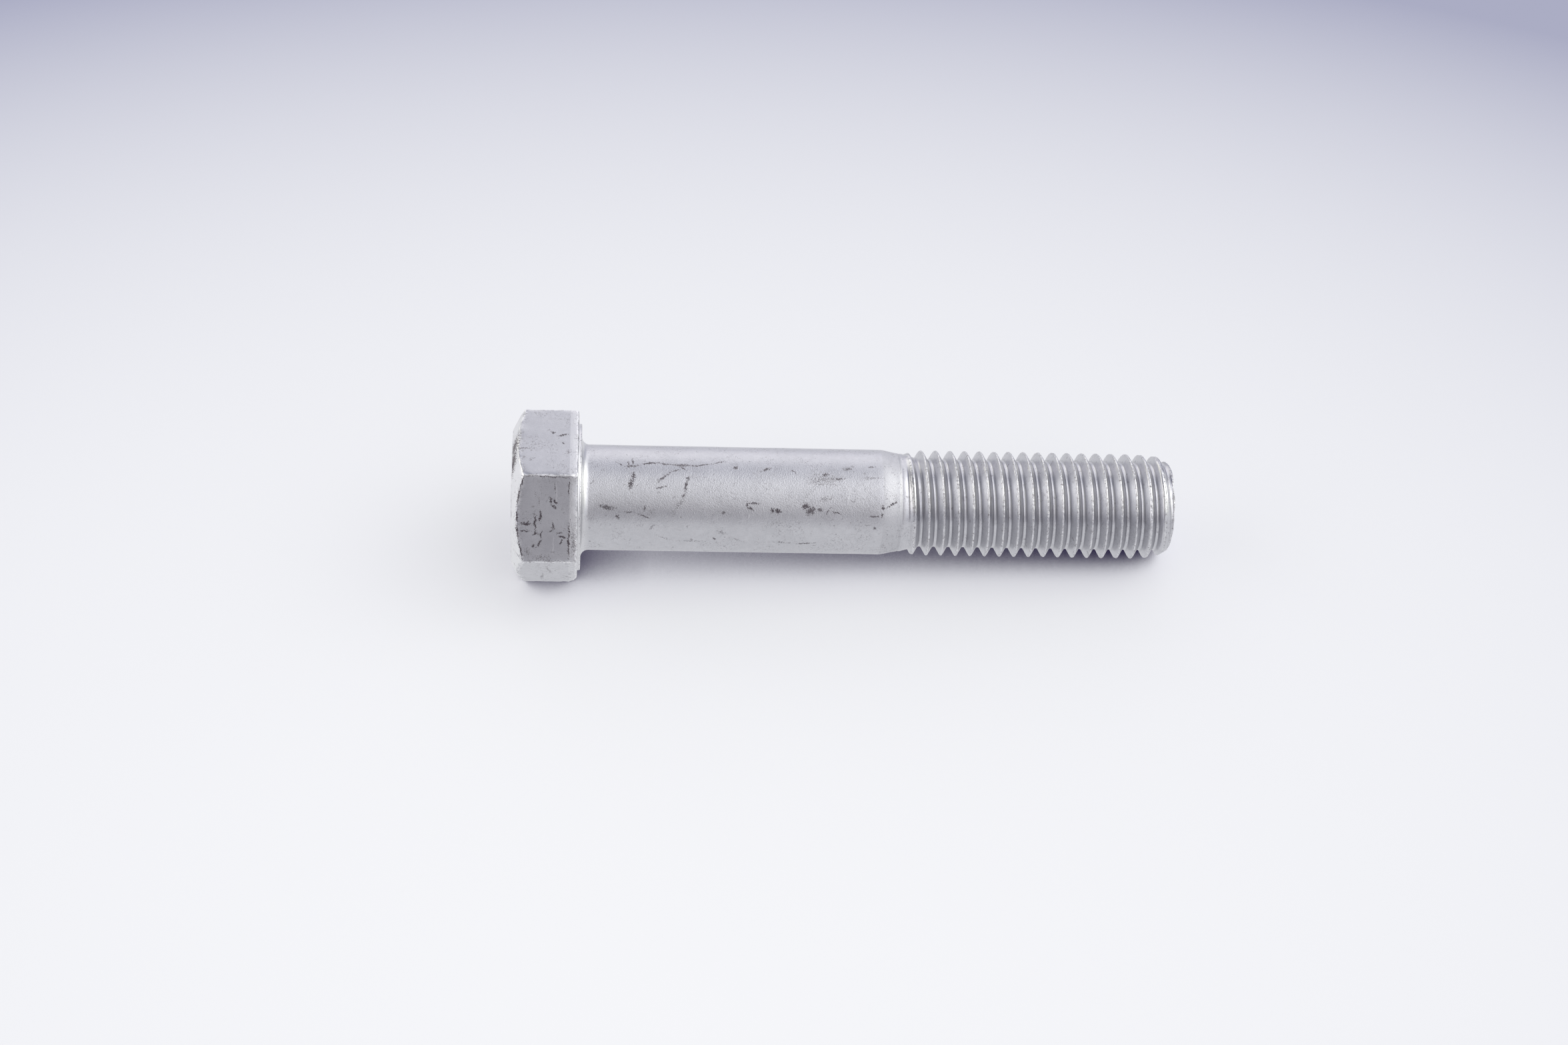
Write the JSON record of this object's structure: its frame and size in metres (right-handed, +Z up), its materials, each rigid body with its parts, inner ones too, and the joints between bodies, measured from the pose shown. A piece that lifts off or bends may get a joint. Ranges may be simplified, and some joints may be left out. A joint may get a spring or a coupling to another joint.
{
  "type": "hexagon head bolt",
  "caption": "Long metric hexagon head bolt with a washer face, plain shank, rolled neck and a coarse right-hand thread to a chamfered point, in dull silver zinc flake finish.",
  "frame": {"origin": "middle of the footprint on the table, with the bolt lying as it comes to rest on one flat of its head and one crest near its point", "axes": "+X along the bolt from head to point, +Z up, +Y across the bolt; the bolt's own axis leans about two and a half degrees down towards +X"},
  "size_m": [0.1117, 0.03, 0.0264],
  "materials": {
    "zinc_flake_steel": "dull silver-grey zinc flake coating over cold formed steel, matte with fine sparkle, scuffed on the head and shank, bright nicks along the thread crests"
  },
  "bodies": {
    "root": {"bolt": "zinc_flake_steel"}
  },
  "joints": []
}
